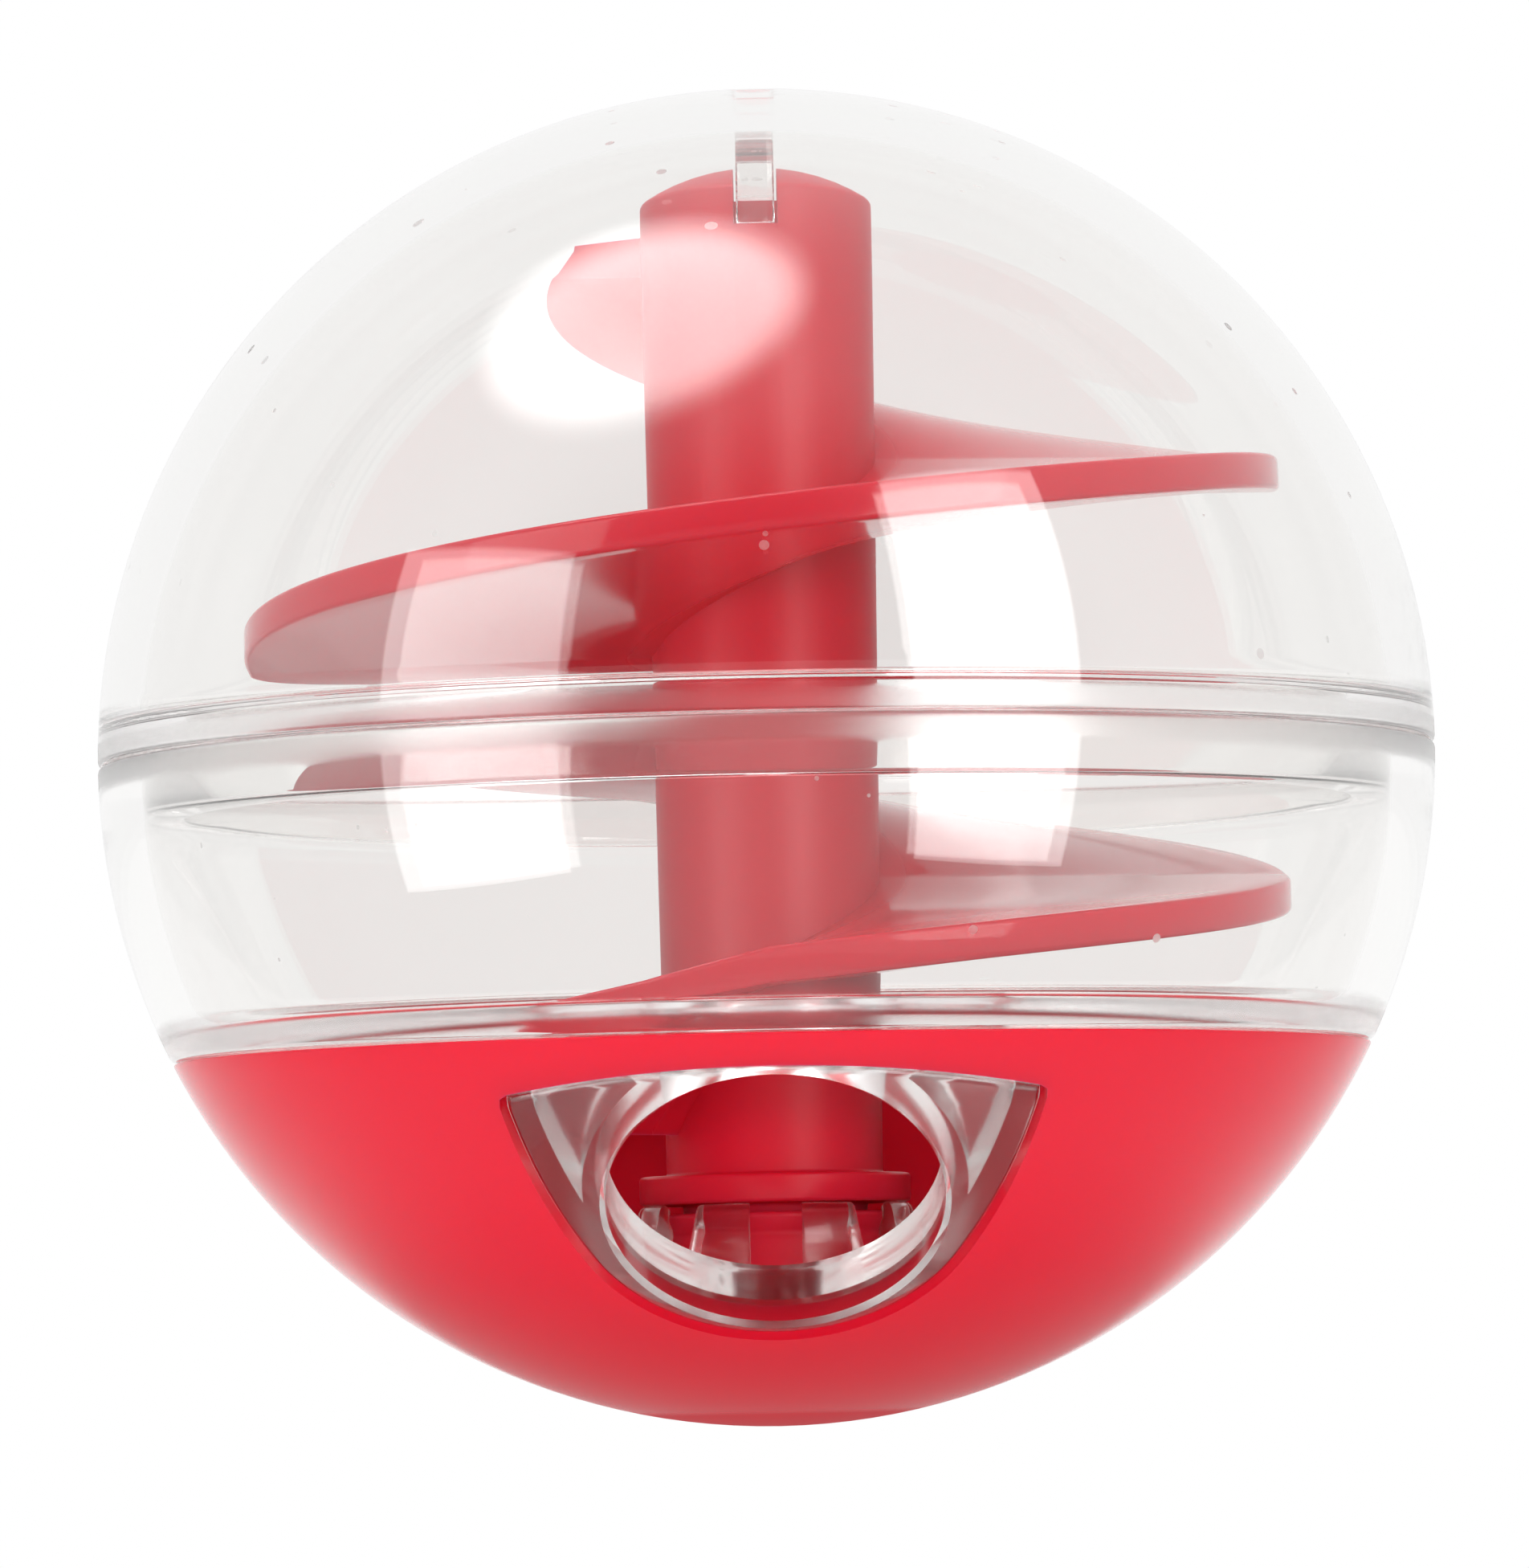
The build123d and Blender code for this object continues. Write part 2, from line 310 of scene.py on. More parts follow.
def finishNode(tree, values):
    node = tree.nodes.new("ShaderNodeGroup")
    node.node_tree = mouldedFinish
    for name, value in values.items():
        node.inputs[name].default_value = value
    return node


def bumpNode(tree, height, depth, strength):
    bump = tree.nodes.new("ShaderNodeBump")
    bump.inputs["Distance"].default_value = depth
    bump.inputs["Strength"].default_value = strength
    link(tree, height, bump.inputs["Height"])
    return bump.outputs["Normal"]


def mixValue(tree, factor, first, second):
    mix = tree.nodes.new("ShaderNodeMix")
    mix.data_type = "FLOAT"
    for name, value in (("Factor", factor), ("A", first), ("B", second)):
        feed(tree, mix.inputs[name], value)
    return mix.outputs["Result"]


def ramped(tree, value, start, end):
    # 0 to 1 as the value goes from start to end
    node = tree.nodes.new("ShaderNodeMapRange")
    node.interpolation_type = "SMOOTHSTEP"
    node.inputs["From Min"].default_value = start
    node.inputs["From Max"].default_value = end
    link(tree, value, node.inputs["Value"])
    return node.outputs["Result"]


def axesOf(tree, vector):
    axes = tree.nodes.new("ShaderNodeSeparateXYZ")
    link(tree, vector, axes.inputs[0])
    return axes.outputs


def outletDistance(tree):
    # distance from the ball's centre along the outlet's axis
    return vectorNode(tree, "DOT_PRODUCT", objectCoords(tree), outletOut)["Value"]


def axisDistance(tree):
    # distance from the ball's upright axis
    flat = vectorNode(tree, "MULTIPLY", objectCoords(tree), (1, 1, 0))["Vector"]
    return vectorNode(tree, "LENGTH", flat)["Value"]


def tinted(tree, mask, plain, worn):
    mix = tree.nodes.new("ShaderNodeMix")
    mix.data_type = "RGBA"
    mix.inputs["A"].default_value = (*plain, 1)
    mix.inputs["B"].default_value = (*worn, 1)
    link(tree, mask, mix.inputs["Factor"])
    return mix.outputs["Result"]


def newMaterial(name):
    material = bpy.data.materials.new(name)
    material.use_nodes = True
    material.node_tree.nodes.clear()
    return material, material.node_tree


def setSurface(tree, shader):
    link(tree, shader, tree.nodes.new("ShaderNodeOutputMaterial").inputs["Surface"])


clear = {
    "plain": (0.965, 0.958, 0.948),
    "worn": (0.935, 0.928, 0.918),
    "ior": 1.53,
    "roughness": 0.008,
    "scratchRoughness": 0.10,
    "speckRoughness": 0.45,
    "hazeRoughness": 0.15,
    "hazeFrom": 0.0290,  # distance out along the outlet's axis where the pad begins
    # low, high and roughness of the frosted seam and ledge
    "frostBands": ((-0.0011, 0.0010, 0.22), (-0.0150, -0.0142, 0.20)),
    "frostSoft": 0.0004,
    "fingerReach": 0.0084,  # the fingers are frosted too
    "fingerTop": -0.021,
    "finish": {"Flow Scale": 55.0, "Scratch Scale": 170.0, "Speck Scale": 420.0, "Speck Share": 0.10},
    "waveDepth": 0.00002,
    "waveStrength": 0.12,
}


def clearPlasticMaterial():
    material, tree = newMaterial("clearPlastic")
    shader = tree.nodes.new("ShaderNodeBsdfPrincipled")
    shader.inputs["IOR"].default_value = clear["ior"]
    shader.inputs["Transmission Weight"].default_value = 1
    finish = finishNode(tree, clear["finish"])
    flow, scratch, speck = [finish.outputs[name] for name in ("Flow", "Scratch", "Speck")]
    link(tree, tinted(tree, flow, clear["plain"], clear["worn"]), shader.inputs["Base Color"])
    rough = mathNode(tree, "MULTIPLY_ADD", scratch, clear["scratchRoughness"], clear["roughness"])
    rough = mathNode(tree, "MAXIMUM", rough, mathNode(tree, "MULTIPLY", speck, clear["speckRoughness"]))
    height = axesOf(tree, objectCoords(tree))["Z"]
    soft = clear["frostSoft"]
    fingers = ramped(tree, axisDistance(tree), clear["fingerReach"] + soft, clear["fingerReach"])
    below = ramped(tree, height, clear["fingerTop"] + soft, clear["fingerTop"])
    fingers = mathNode(tree, "MULTIPLY", fingers, below)
    pad = ramped(tree, outletDistance(tree), clear["hazeFrom"], clear["hazeFrom"] + soft)
    below = ramped(tree, height, ball["rimHeight"], ball["rimHeight"] - soft)
    pad = mathNode(tree, "MULTIPLY", pad, below)
    haze = mathNode(tree, "MULTIPLY", mathNode(tree, "MAXIMUM", fingers, pad), clear["hazeRoughness"])
    rough = mathNode(tree, "MAXIMUM", rough, haze)
    for low, high, frost in clear["frostBands"]:
        above = ramped(tree, height, low - soft, low)
        band = mathNode(tree, "MULTIPLY", above, ramped(tree, height, high + soft, high))
        rough = mathNode(tree, "MAXIMUM", rough, mathNode(tree, "MULTIPLY", band, frost))
    link(tree, rough, shader.inputs["Roughness"])
    link(tree, bumpNode(tree, flow, clear["waveDepth"], clear["waveStrength"]), shader.inputs["Normal"])
    # rays from lamps go straight through, so that they light what is inside
    through = tree.nodes.new("ShaderNodeBsdfTransparent")
    through.inputs["Color"].default_value = (*clear["worn"], 1)
    path = tree.nodes.new("ShaderNodeLightPath")
    mix = tree.nodes.new("ShaderNodeMixShader")
    link(tree, path.outputs["Is Shadow Ray"], mix.inputs[0])
    link(tree, shader.outputs[0], mix.inputs[1])
    link(tree, through.outputs[0], mix.inputs[2])
    setSurface(tree, mix.outputs[0])
    return material


red = {
    "plain": (0.71, 0.009, 0.032),
    "worn": (0.77, 0.015, 0.043),
    "ior": 1.5,
    "shine": 0.25,
    "roughness": 0.10,
    "columnRoughness": 0.40,
    "columnReach": (0.0064, 0.0082),  # distance from the axis over which the finish turns smoother
    "scratchRoughness": 0.12,
    "glowWeight": 0.6,
    "glowReach": (1.0, 0.1, 0.1),
    "glowDepth": 0.004,
    "finish": {"Flow Scale": 38.0, "Scratch Scale": 240.0, "Speck Scale": 380.0, "Speck Share": 0.06},
    "waveDepth": 0.00002,
    "waveStrength": 0.15,
}


def redPlasticMaterial():
    material, tree = newMaterial("redPlastic")
    shader = tree.nodes.new("ShaderNodeBsdfPrincipled")
    shader.inputs["IOR"].default_value = red["ior"]
    shader.inputs["Specular IOR Level"].default_value = red["shine"]
    shader.inputs["Subsurface Weight"].default_value = red["glowWeight"]
    shader.inputs["Subsurface Radius"].default_value = red["glowReach"]
    shader.inputs["Subsurface Scale"].default_value = red["glowDepth"]
    finish = finishNode(tree, red["finish"])
    flow, scratch = finish.outputs["Flow"], finish.outputs["Scratch"]
    link(tree, tinted(tree, flow, red["plain"], red["worn"]), shader.inputs["Base Color"])
    smooth = ramped(tree, axisDistance(tree), *red["columnReach"])
    rough = mixValue(tree, smooth, red["columnRoughness"], red["roughness"])
    rough = mathNode(tree, "MULTIPLY_ADD", scratch, red["scratchRoughness"], rough)
    link(tree, rough, shader.inputs["Roughness"])
    link(tree, bumpNode(tree, flow, red["waveDepth"], red["waveStrength"]), shader.inputs["Normal"])
    setSurface(tree, shader.outputs[0])
    return material


clearPlastic = clearPlasticMaterial()
redPlastic = redPlasticMaterial()
print("finishes made")

# Clear dome: the upper shell, its skirt and the key under the crown
dome = {
    "skirtGap": 0.0001,
    "skirtWall": 0.00205,
    "skirtDrop": 0.0029,
    "shoulderRise": 0.00185,
    "edgeRound": 0.0003,
    "crownGap": 0.0014,  # air over the spiral's head
    "keyWidth": 0.002,
    "keyLength": 0.009,
    "keyLegLength": 0.0036,
    "keyDepth": 0.0016,
    "keyLegDepth": 0.0038,
}
columnTop = shellInner - dome["crownGap"]


def makeDome():
    skirt = seatRadius - dome["skirtGap"]
    skirtInner = skirt - dome["skirtWall"]
    section = ballArc(ball["radius"], ball["radius"], 0)
    section += [(skirt, 0), (skirt, -dome["skirtDrop"]), (skirtInner, -dome["skirtDrop"])]
    section += [(skirtInner, dome["shoulderRise"])]
    section += ballArc(shellInner, dome["shoulderRise"], shellInner)
    piece = turned(section, "clearDome", dome["edgeRound"])
    # the key's outline lies in YZ: a blade with a longer leg at the front
    root = shellInner + ball["wall"] / 2
    half = dome["keyLength"] / 2
    step = dome["keyLegLength"] - half
    foot, legFoot = columnTop - dome["keyDepth"], columnTop - dome["keyLegDepth"]
    outline = [(-half, root), (-half, legFoot), (step, legFoot), (step, foot), (half, foot), (half, root)]
    upright = Matrix(((0, 0, 1, -dome["keyWidth"] / 2), (1, 0, 0, 0), (0, 1, 0, 0), (0, 0, 0, 1)))
    key = slab(outline, dome["keyWidth"], upright, "key", dome["edgeRound"])
    combine(piece, key, "UNION")
    finishPiece(piece, "dome", "dome", clearPlastic)


makeDome()

# The half-moon window in the cover, and the pad of the cup that fills it
window = {
    "width": 0.0275,
    "cornerRise": 0.0057,
    "crownRise": 0.0094,
    "sideRadius": 0.041,
    "sideRise": 0.0168,
    "bellyRadius": 0.011,
    "cornerRound": 0.0006,
    "arcSteps": 28,
}


def circlesMeet(firstCentre, firstRadius, secondCentre, secondRadius, side):
    # the point where two circles cross, on the given side of the line of centres
    between = secondCentre - firstCentre
    along = (firstRadius**2 - secondRadius**2 + between.length_squared) / (2 * between.length)
    across = sqrt(firstRadius**2 - along**2)
    unit = between.normalized()
    return firstCentre + unit * along + Vector((-unit.y, unit.x)) * across * side


def planeArc(centre, radius, start, end, count):
    # points from start to end about a centre in the outlet's plane, the end left out
    first = atan2(start.y - centre.y, start.x - centre.x)
    turn = atan2(end.y - centre.y, end.x - centre.x) - first
    turn = (turn + pi) % (2 * pi) - pi
    return [
        centre + Vector((cos(first + turn * step / count), sin(first + turn * step / count))) * radius
        for step in range(count)
    ]


def halfMoon(inset):
    # the window's outline drawn in by an inset: crown, right side, belly, left side
    count = window["arcSteps"]
    half = window["width"] / 2
    sag = window["crownRise"] - window["cornerRise"]
    crownRadius = (half**2 + sag**2) / (2 * sag)
    crownCentre = Vector((0, window["crownRise"] - crownRadius))
    reach = sqrt(window["sideRadius"] ** 2 - (window["sideRise"] - window["cornerRise"]) ** 2) - half
    rightCentre = Vector((-reach, window["sideRise"]))
    crown, side = crownRadius - inset, window["sideRadius"] - inset
    belly = window["bellyRadius"] - inset
    apart = window["sideRadius"] - window["bellyRadius"]
    bellyCentre = Vector((0, window["sideRise"] - sqrt(apart**2 - reach**2)))
    hip = rightCentre + (bellyCentre - rightCentre).normalized() * side
    corner = circlesMeet(crownCentre, crown, rightCentre, side, 1)
    if corner.x < 0:
        corner = circlesMeet(crownCentre, crown, rightCentre, side, -1)

    # small rounds at the two corners: leave and rejoin the arcs a little way off
    lead = window["cornerRound"]
    onCrown = corner + (crownCentre + Vector((0, crown)) - corner).normalized() * lead
    onSide = corner + (hip - corner).normalized() * lead
    onCrown = crownCentre + (onCrown - crownCentre).normalized() * crown
    onSide = rightCentre + (onSide - rightCentre).normalized() * side
    rounded = [onCrown, (onCrown + onSide + corner * 2) / 4]

    def mirrored(points):
        return [Vector((-p.x, p.y)) for p in reversed(points)]

    rightHalf = planeArc(crownCentre, crown, crownCentre + Vector((0, crown)), onCrown, count // 2)
    rightHalf += rounded + planeArc(rightCentre, side, onSide, hip, count // 2)
    rightHalf += planeArc(bellyCentre, belly, hip, bellyCentre - Vector((0, belly)), count)
    lowest = [bellyCentre - Vector((0, belly))]
    return rightHalf + lowest + mirrored(rightHalf[1:])


def onBall(points, radius):
    # outline points carried along the outlet's axis to a ball of this radius
    return [
        outletAcross * p.x + outletUp * p.y + outletOut * sqrt(radius**2 - p.length_squared)
        for p in points
    ]


def outletTool(section, name):
    # a half section about the outlet's axis: distance from the axis, distance out of the ball
    tool = turned(section, name, 0)
    turn = Matrix((outletAcross, outletUp, outletOut)).transposed().to_4x4()
    tool.data.transform(turn)
    return tool


# Clear cup: band, ledge, bowl, snap fingers and the raised pad with the outlet
cup = {
    "ledgeWeb": 0.0019,
    "edgeRound": 0.0003,
    "padGap": 0.0003,
    "padSink": 0.0002,
    "padSideWall": 0.0014,
    "padFaceWall": 0.0019,
    "padRound": 0.00035,
    "padRoundSteps": 4,
    "faceShares": (0.9, 0.8, 0.7, 0.6, 0.5),  # rings of the pad's face, as shares of its rim
    "pocketRound": 0.0004,
    "outletRadius": 0.0085,
    "outletLead": 0.00035,
    "tubeWall": 0.0009,
    "collarBore": 0.0066,
    "collarWall": 0.0015,
    "collarHeight": 0.0072,
    "fingerLength": 0.0052,
    "fingerGap": 0.0027,
    "fingerSlots": 4,
    "fingerLead": 0.0009,
    "fingerLeadDrop": 0.0032,
    "beadDrop": 0.0016,
    "beadHeight": 0.0014,
    "beadRise": 0.00035,
    "fingerRound": 0.00025,
}
collarTop = -(bowlInner - cup["collarHeight"])


def makePad():
    skin = ball["radius"] - cup["padSink"]
    root = (bowlInner + bowlOuter) / 2
    edge = cup["padRound"]
    loops = [onBall(halfMoon(cup["padGap"]), root)]
    for step in range(cup["padRoundSteps"] + 1):
        turn = pi / 2 * step / cup["padRoundSteps"]
        inset = cup["padGap"] + edge * (1 - cos(turn))
        loops.append(onBall(halfMoon(inset), skin - edge * (1 - sin(turn))))
    rim = halfMoon(cup["padGap"] + edge)
    for share in cup["faceShares"]:
        loops.append(onBall([p * share for p in rim], skin))
    return stacked(loops, "pad")


def makePadHollow():
    inset = cup["padGap"] + cup["padSideWall"]
    skin = ball["radius"] - cup["padSink"]
    rim = halfMoon(inset)
    top = skin - cup["padFaceWall"]
    loops = [onBall(rim, bowlInner - ball["overrun"]), onBall(rim, top)]
    for share in cup["faceShares"]:
        loops.append(onBall([p * share for p in rim], top))
    hollow = stacked(loops, "padHollow")
    tube = cup["outletRadius"] + cup["tubeWall"]
    far = ball["radius"] + ball["overrun"]
    near = bowlInner - 2 * ball["overrun"]
    combine(hollow, outletTool([(0, far), (tube, far), (tube, near), (0, near)], "tube"), "DIFFERENCE")
    bm = bmesh.new()
    bm.from_mesh(hollow.data)
    bmesh.ops.remove_doubles(bm, verts=bm.verts[:], dist=ball["cutWeld"])
    sharp = [e for e in bm.edges if e.is_manifold and e.calc_face_angle() > ball["sharpAngle"]]
    roundOff(bm, sharp, cup["pocketRound"], "EDGES", 3)
    bm.to_mesh(hollow.data)
    bm.free()
    return hollow


def roundFingers(piece):
    # the long edges that the slots leave on the fingers
    low = collarTop - cup["fingerLength"] + cup["fingerRound"]
    bm = bmesh.new()
    bm.from_mesh(piece.data)
    bmesh.ops.remove_doubles(bm, verts=bm.verts[:], dist=ball["cutWeld"])
    edges = []
    for e in bm.edges:
        reach = max(v.co.xy.length for v in e.verts)
        if e.is_manifold and reach < 2 * cup["collarBore"] and min(v.co.z for v in e.verts) > low:
            if e.calc_face_angle() > 2 * ball["sharpAngle"]:
                edges.append(e)
    roundOff(bm, edges, cup["fingerRound"], "EDGES", 2)
    bm.to_mesh(piece.data)
    bm.free()


def makeCup():
    bore, wall = cup["collarBore"], cup["collarWall"]
    collarOuter = bore + wall
    bead = collarTop - cup["beadDrop"]
    section = ballArc(ball["radius"], -ball["seatGap"], ball["rimHeight"])
    section += ballArc(bowlOuter, ball["rimHeight"], -heightOn(bowlOuter, bore))
    section += [(bore, bead - cup["beadHeight"] / 2), (bore - cup["beadRise"], bead)]
    fingerTop = collarTop - ball["seatGap"]
    section += [(bore, bead + cup["beadHeight"] / 2), (bore, fingerTop)]
    section += [(collarOuter - cup["fingerLead"], fingerTop)]
    section += [(collarOuter, collarTop - cup["fingerLeadDrop"])]
    step = ball["rimHeight"] + cup["ledgeWeb"]
    section += ballArc(bowlInner, -heightOn(bowlInner, collarOuter), step)
    section += ballArc(shellInner, step, -ball["seatDrop"])
    section += [(seatRadius, -ball["seatGap"])]
    piece = turned(section, "clearCup", cup["edgeRound"], closed=True)
    long = collarOuter + wall
    for slot in range(cup["fingerSlots"]):
        turn = Matrix.Rotation(pi * slot / cup["fingerSlots"] + pi / 2, 4, "Z")
        place = turn @ Matrix.Translation((0, 0, collarTop - cup["fingerLength"]))
        half = cup["fingerGap"] / 2
        outline = [(-long, -half), (long, -half), (long, half), (-long, half)]
        combine(piece, slab(outline, cup["fingerLength"] + ball["overrun"], place, "slot"), "DIFFERENCE")
    roundFingers(piece)
    combine(piece, makePad(), "UNION")
    combine(piece, makePadHollow(), "DIFFERENCE")
    # the outlet's bore, with a bevelled mouth
    radius, lead = cup["outletRadius"], cup["outletLead"]
    mouth = heightOn(ball["radius"] - cup["padSink"], radius)
    far = ball["radius"] + ball["overrun"]
    flare = radius + lead + far - mouth
    near = bowlInner - 2 * ball["overrun"]
    drill = [(0, far), (flare, far), (radius, mouth - lead), (radius, near), (0, near)]
    combine(piece, outletTool(drill, "bore"), "DIFFERENCE")
    finishPiece(piece, "base", "cup", clearPlastic)


makeCup()

# Red cover: a thin bowl with the window, and the hub that the fingers grip
cover = {
    "edgeRound": 0.0002,
    "hubGap": 0.0001,
    "hubWall": 0.0016,
    "hubTopSink": 0.0005,
}
hubRadius = cup["collarBore"] - cover["hubGap"]
hubBore = hubRadius - cover["hubWall"]


def makeCover():
    bead = collarTop - cup["beadDrop"]
    groove = cup["beadHeight"] / 2 + cover["hubGap"]
    hubTop = collarTop - cover["hubTopSink"]
    rim = ball["rimHeight"] - ball["seatGap"]
    section = ballArc(ball["radius"], -ball["radius"], rim)
    section += ballArc(coverInner, rim, -heightOn(coverInner, hubRadius))
    section += [(hubRadius, bead - groove), (hubRadius - cup["beadRise"], bead)]
    section += [(hubRadius, bead + groove), (hubRadius, hubTop)]
    section += [(hubBore, hubTop), (hubBore, -coverInner), (0, -coverInner)]
    piece = turned(section, "redCover", cover["edgeRound"])
    outline = halfMoon(0)
    reaches = (bowlInner - ball["overrun"], ball["radius"] + ball["overrun"])
    tool = stacked([onBall(outline, reach) for reach in reaches], "windowTool")
    combine(piece, tool, "DIFFERENCE")
    finishPiece(piece, "base", "cover", redPlastic)


makeCover()

# Red spiral: hollow column with a slotted head, foot flange, spigot and the ramp
spiral = {
    "footRadius": 0.00565,
    "headRadius": 0.00615,
    "crownHeight": 0.002,
    "crownSteps": 8,
    "boreRadius": 0.0034,
    "roof": 0.0018,
    "flangeRadius": 0.0071,
    "flangeThickness": 0.0015,
    "spigotLength": 0.005,
    "spigotGap": 0.00008,
    "keyGap": 0.00015,
    "keyEndGap": 0.00025,
    "edgeRound": 0.0002,
    "frontRise": 0.01005,
    "frontLift": 0.0086,  # climb over a half turn at the front
    "backLift": 0.0134,  # climb over a half turn at the back
    "leadLift": 0.0196,  # climb over a half turn, on the way up to the front
    "leadTurn": radians(62),
    "edgeThickness": 0.0018,
    "rootThickness": 0.0024,
    "shellGap": 0.0013,
    "sideRelief": 0.002,
    "taperDrop": 0.0164,
    "tipDrop": 0.0045,
    "tipRadius": 0.010,
    "edgeRoundShare": 0.16,
    "bladeSteps": 14,
    "stepsPerTurn": 150,
}
flangeTop = collarTop + spiral["flangeThickness"]


def rampLimit(height):
    # how far out the ramp may reach at a height: the bowl's curve, straight sides, a cone to the tip
    ballLimit = bowlInner - spiral["shellGap"]
    side = ballLimit - spiral["sideRelief"]
    taper, tip = columnTop - spiral["taperDrop"], columnTop - spiral["tipDrop"]
    if height < 0:
        return min(side, sqrt(max(ballLimit**2 - height**2, 0)))
    share = min(max((height - taper) / (tip - taper), 0), 1)
    return side + (spiral["tipRadius"] - side) * share


def makeRamp():
    ballLimit = bowlInner - spiral["shellGap"]
    root = (spiral["boreRadius"] + spiral["footRadius"]) / 2
    tip = columnTop - spiral["tipDrop"]
    # the blade's section, in XZ, divided along its length so that the faces stay even
    inner, outer = spiral["rootThickness"] / 2, spiral["edgeThickness"] / 2
    shares = [step / spiral["bladeSteps"] for step in range(spiral["bladeSteps"] + 1)]
    top = [(root + (ballLimit - root) * s, inner + (outer - inner) * s) for s in shares]
    bottom = [(across, -half) for across, half in reversed(top)]
    bm = bmesh.new()
    verts = [bm.verts.new((across, 0, height)) for across, height in top + bottom]
    for a, b in zip(verts, verts[1:] + verts[:1]):
        bm.edges.new((a, b))
    corners = [v for v in verts if abs(v.co.x - ballLimit) < ball["cutWeld"]]
    roundOff(bm, corners, spiral["edgeThickness"] * spiral["edgeRoundShare"], "VERTICES", 4)
    foot = flangeTop + spiral["frontRise"] - spiral["leadLift"] * spiral["leadTurn"] / pi
    place = Matrix.Translation((0, 0, foot)) @ Matrix.Rotation(-spiral["leadTurn"] - pi / 2, 4, "Z")
    bmesh.ops.transform(bm, matrix=place, verts=bm.verts[:])
    first = bm.edges[:]
    last = bm.verts[:] + first
    stretches = [("leadLift", spiral["leadTurn"]), ("frontLift", pi / 2)]
    stretches += [("backLift", pi), ("frontLift", pi), ("backLift", pi)]
    for name, fullTurn in stretches:
        lift = spiral[name]
        turn = min(fullTurn, (tip - foot) / lift * pi)
        steps = round(spiral["stepsPerTurn"] * turn / (2 * pi))
        climb = (0, 0, lift * turn / pi / steps)
        last = bmesh.ops.spin(
            bm, geom=last, cent=(0, 0, 0), axis=(0, 0, 1), dvec=climb, angle=turn, steps=steps,
        )["geom_last"]
        foot += lift * turn / pi
    bmesh.ops.contextual_create(bm, geom=first)
    bmesh.ops.contextual_create(bm, geom=[e for e in last if isinstance(e, bmesh.types.BMEdge)])
    for v in bm.verts:
        across = v.co.xy.length
        limit = max(rampLimit(v.co.z), root + spiral["edgeThickness"])
        share = (limit - root) / (ballLimit - root)
        v.co.xy *= (root + (across - root) * share) / across
    bmesh.ops.recalc_face_normals(bm, faces=bm.faces[:])
    return toObject(bm, "ramp")


def makeSpiral():
    head, crown = spiral["headRadius"], spiral["crownHeight"]
    crownRadius = (head**2 + crown**2) / (2 * crown)
    half = asin(head / crownRadius)
    turns = [half * step / spiral["crownSteps"] for step in range(spiral["crownSteps"] + 1)]
    section = [(crownRadius * sin(turn), columnTop - crownRadius * (1 - cos(turn))) for turn in turns]
    spigot = hubBore - spiral["spigotGap"]
    foot = collarTop - spiral["spigotLength"]
    keyFoot = columnTop - dome["keyDepth"] - spiral["keyEndGap"]
    legFoot = columnTop - dome["keyLegDepth"] - spiral["keyEndGap"]
    section += [(spiral["footRadius"], flangeTop), (spiral["flangeRadius"], flangeTop)]
    section += [(spiral["flangeRadius"], collarTop), (spigot, collarTop), (spigot, foot)]
    section += [(spiral["boreRadius"], foot), (spiral["boreRadius"], legFoot - spiral["roof"])]
    section += [(0, legFoot - spiral["roof"])]
    piece = turned(section, "redSpiral", spiral["edgeRound"])
    combine(piece, makeRamp(), "UNION")
    # the slot for the dome's key, deeper at the front
    halfSlot = dome["keyWidth"] / 2 + spiral["keyGap"]
    step = dome["keyLegLength"] - dome["keyLength"] / 2 + spiral["keyEndGap"]
    far = spiral["flangeRadius"]
    for low, back in ((keyFoot, far), (legFoot, step)):
        outline = [(-halfSlot, -far), (halfSlot, -far), (halfSlot, back), (-halfSlot, back)]
        place = Matrix.Translation((0, 0, low))
        combine(piece, slab(outline, columnTop - low + ball["overrun"], place, "keySlot"), "DIFFERENCE")
    finishPiece(piece, "spiral", "spiral", redPlastic)


makeSpiral()

# Pale floor, which keeps the ball's shadow and fades to white further out
floor = {
    "size": 3.0,
    "sides": 96,
    "colour": (0.80, 0.795, 0.79),
    "lift": 0.3,
    "white": (0.02, 0.055),  # distance from the axis over which it fades
    # facing range over which the floor turns to a painted reflection of the white room
    "paintedReflectionTilt": (0.95, 0.985),
}


def seenRay(tree):
    # 1 for rays that show the background: straight, mirrored or through clear plastic
    path = tree.nodes.new("ShaderNodeLightPath").outputs
    mirrored = mathNode(tree, "MAXIMUM", path["Is Glossy Ray"], path["Is Transmission Ray"])
    lighting = mathNode(tree, "GREATER_THAN", path["Diffuse Depth"], 0.5)
    mirrored = mathNode(tree, "SUBTRACT", mirrored, lighting, clamp=True)
    return mathNode(tree, "MAXIMUM", path["Is Camera Ray"], mirrored)


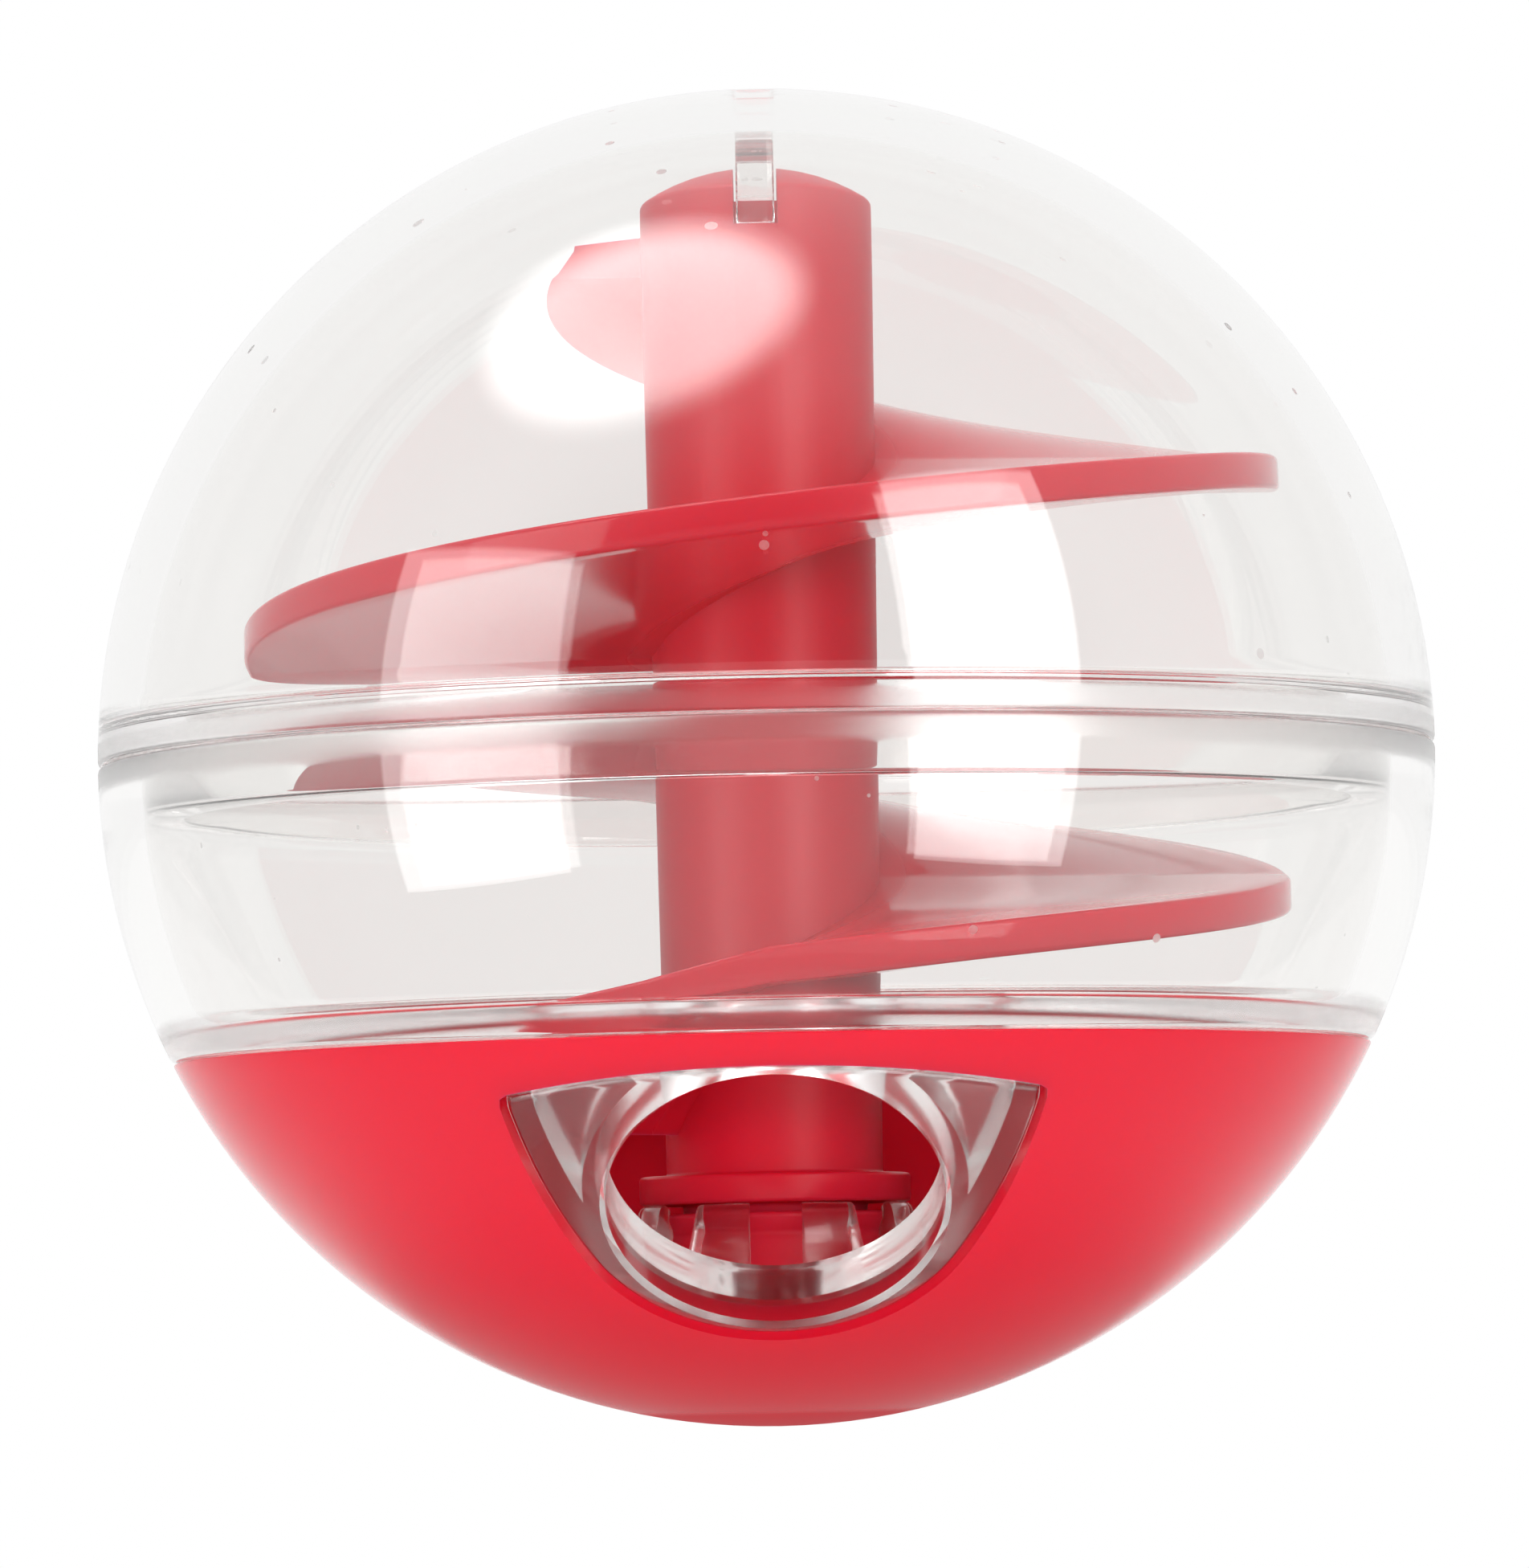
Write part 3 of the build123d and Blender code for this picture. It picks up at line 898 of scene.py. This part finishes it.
def makeFloor():
    bm = bmesh.new()
    bmesh.ops.create_circle(bm, cap_ends=True, radius=floor["size"], segments=floor["sides"])
    bmesh.ops.translate(bm, vec=(0, 0, cadBox[0].z), verts=bm.verts[:])
    piece = toObject(bm, "floor")
    material, tree = newMaterial("paleFloor")
    paint = tree.nodes.new("ShaderNodeBsdfDiffuse")
    paint.inputs["Color"].default_value = (*floor["colour"], 1)
    glow = tree.nodes.new("ShaderNodeEmission")
    lift = tree.nodes.new("ShaderNodeEmission")
    lift.inputs["Strength"].default_value = floor["lift"]
    lit = tree.nodes.new("ShaderNodeAddShader")
    link(tree, paint.outputs[0], lit.inputs[0])
    link(tree, lift.outputs[0], lit.inputs[1])
    fade = ramped(tree, axisDistance(tree), *floor["white"])
    # painted reflection: seen at a low angle the floor is painted plain white, standing in for its mirror
    # image of the white room
    tilt = tree.nodes.new("ShaderNodeLayerWeight").outputs["Facing"]
    fade = mathNode(tree, "MAXIMUM", fade, ramped(tree, tilt, *floor["paintedReflectionTilt"]))
    both = tree.nodes.new("ShaderNodeMixShader")
    link(tree, mathNode(tree, "MULTIPLY", seenRay(tree), fade), both.inputs[0])
    link(tree, lit.outputs[0], both.inputs[1])
    link(tree, glow.outputs[0], both.inputs[2])
    setSurface(tree, both.outputs[0])
    piece.data.materials.append(material)


makeFloor()

# Studio light: a white room, dark about the camera, and soft boxes
studio = {
    "fill": 0.38,  # what lights the ball
    "white": 0.95,  # what the plastic mirrors
    "behind": 1.0,  # what the camera sees
    "cameraSide": 0.16,
    "cameraTurn": (-0.35, -0.9),  # direction's Y over which the room turns dark
    "oneWall": 2.5,  # more refractions than one clear wall has
    "bounces": 32,
    "clearBounces": 24,
}


def makeWorld():
    world = bpy.data.worlds.new("studio")
    bpy.context.scene.world = world
    world.use_nodes = True
    tree = world.node_tree
    tree.nodes.clear()
    background = tree.nodes.new("ShaderNodeBackground")
    background.inputs["Color"].default_value = (1, 1, 1, 1)
    path = tree.nodes.new("ShaderNodeLightPath").outputs
    coords = tree.nodes.new("ShaderNodeTexCoord").outputs["Generated"]
    # mirrored rays see the room grow darker towards the camera
    towards = ramped(tree, axesOf(tree, coords)["Y"], *studio["cameraTurn"])
    mirrored = mathNode(tree, "MINIMUM", path["Glossy Depth"], 1)
    dark = mathNode(tree, "MULTIPLY", towards, mirrored)
    room = mixValue(tree, dark, studio["white"], studio["cameraSide"])
    seen = mixValue(tree, seenRay(tree), studio["fill"], room)
    strength = mixValue(tree, path["Is Camera Ray"], seen, studio["behind"])
    link(tree, strength, background.inputs["Strength"])
    link(tree, background.outputs[0], tree.nodes.new("ShaderNodeOutputWorld").inputs["Surface"])


makeWorld()

# Azimuth is counted from the camera's side to the right. The glow boxes are what the plastic
# mirrors; the others light the ball.
softBoxes = {
    "leftGlow": {
        "azimuth": -43, "elevation": 3.5, "distance": 0.0998,
        "size": (0.0512, 0.085), "glow": 4.2, "soft": 0.06,
    },
    "rightGlow": {
        "azimuth": 33, "elevation": 9, "distance": 0.099,
        "size": (0.0445, 0.105), "glow": 5.5, "soft": 0.06,
    },
    "topGlow": {
        "azimuth": -51, "elevation": 71, "distance": 0.296,
        "size": (0.24, 0.26), "glow": 5.0, "soft": 0.35,
    },
    "topLight": {
        "azimuth": 0, "elevation": 84, "distance": 0.8,
        "size": (0.7, 0.7), "light": 0.80,
    },
    "frontLight": {
        "azimuth": -3, "elevation": 0.5, "distance": 1.2,
        "size": (0.3, 0.2), "light": 0.50,
    },
}


def softEdge(lamp, soft):
    # a box's face that dims towards its edge
    lamp.use_nodes = True
    tree = lamp.node_tree
    # the face runs from 0 to 1 each way; here it is 0 in the middle and 1 at the edge
    place = tree.nodes.new("ShaderNodeNewGeometry").outputs["Parametric"]
    centred = vectorNode(tree, "MULTIPLY_ADD", place, (2, 2, 0), (-1, -1, 0))["Vector"]
    if lamp.shape == "ELLIPSE":
        reach = vectorNode(tree, "LENGTH", centred)["Value"]
    else:
        axes = axesOf(tree, centred)
        reach = mathNode(tree, "MAXIMUM", *[mathNode(tree, "ABSOLUTE", axes[name]) for name in "XY"])
    # the box is seen mirrored, and not straight through two clear walls
    path = tree.nodes.new("ShaderNodeLightPath").outputs
    through = mathNode(tree, "GREATER_THAN", path["Transmission Depth"], studio["oneWall"])
    straight = mathNode(tree, "SUBTRACT", through, path["Glossy Depth"], clamp=True)
    shown = mathNode(tree, "SUBTRACT", 1, straight)
    shine = next(node for node in tree.nodes if node.type == "EMISSION")
    strength = mathNode(tree, "MULTIPLY", shown, ramped(tree, reach, 1, 1 - soft))
    link(tree, strength, shine.inputs["Strength"])


def makeSoftBox(name, box):
    turn, lift = radians(box["azimuth"]), radians(box["elevation"])
    towards = Vector((sin(turn) * cos(lift), -cos(turn) * cos(lift), sin(lift)))
    lamp = bpy.data.lights.new(name, "AREA")
    lamp.shape = "ELLIPSE" if name.startswith("top") else "RECTANGLE"
    lamp.size, lamp.size_y = box["size"]
    holder = bpy.data.objects.new(name, lamp)
    holder.location = towards * box["distance"]
    holder.rotation_euler = towards.to_track_quat("Z", "Y").to_euler()
    holder.visible_camera = False
    area = lamp.size * lamp.size_y * (pi / 4 if lamp.shape == "ELLIPSE" else 1)
    if "glow" in box:
        # the power that gives the box's face this brightness
        lamp.energy = box["glow"] * pi * area
        holder.visible_diffuse = False
        softEdge(lamp, box["soft"])
    else:
        # the power that lights a facing white card at the ball to this brightness
        lamp.energy = box["light"] * pi**2 * box["distance"] ** 2
        holder.visible_glossy = False
        holder.visible_transmission = False
    bpy.context.scene.collection.objects.link(holder)


for name, box in softBoxes.items():
    makeSoftBox(name, box)

# Camera: level with the ball's foot, the ball's centre just above the middle of the picture
camera = {
    "place": Vector((0, -0.5, -0.033)),
    "aim": Vector((-0.00013, 0, -0.00139)),
    "roll": radians(-1.17),
    "pixelsPerMetre": 23740,
    "pictureHeight": 1952,
    "sensor": 36.0,
    "nearest": 0.01,
}


def makeCamera():
    lens = bpy.data.cameras.new("camera")
    away = (camera["place"] - camera["aim"]).length
    lens.sensor_fit = "VERTICAL"
    lens.sensor_height = camera["sensor"]
    lens.lens = camera["sensor"] * camera["pixelsPerMetre"] * away / camera["pictureHeight"]
    lens.clip_start = camera["nearest"]
    holder = bpy.data.objects.new("camera", lens)
    look = (camera["place"] - camera["aim"]).to_track_quat("Z", "Y").to_matrix().to_4x4()
    look = look @ Matrix.Rotation(camera["roll"], 4, "Z")
    holder.matrix_world = Matrix.Translation(camera["place"]) @ look
    bpy.context.scene.collection.objects.link(holder)
    bpy.context.scene.camera = holder


makeCamera()

scene = bpy.context.scene
scene.view_settings.view_transform = "Standard"
# light goes back and forth inside the clear walls many times
scene.cycles.max_bounces = studio["bounces"]
scene.cycles.glossy_bounces = studio["bounces"]
scene.cycles.transmission_bounces = studio["bounces"]
scene.cycles.transparent_max_bounces = studio["clearBounces"]
print("studio set")
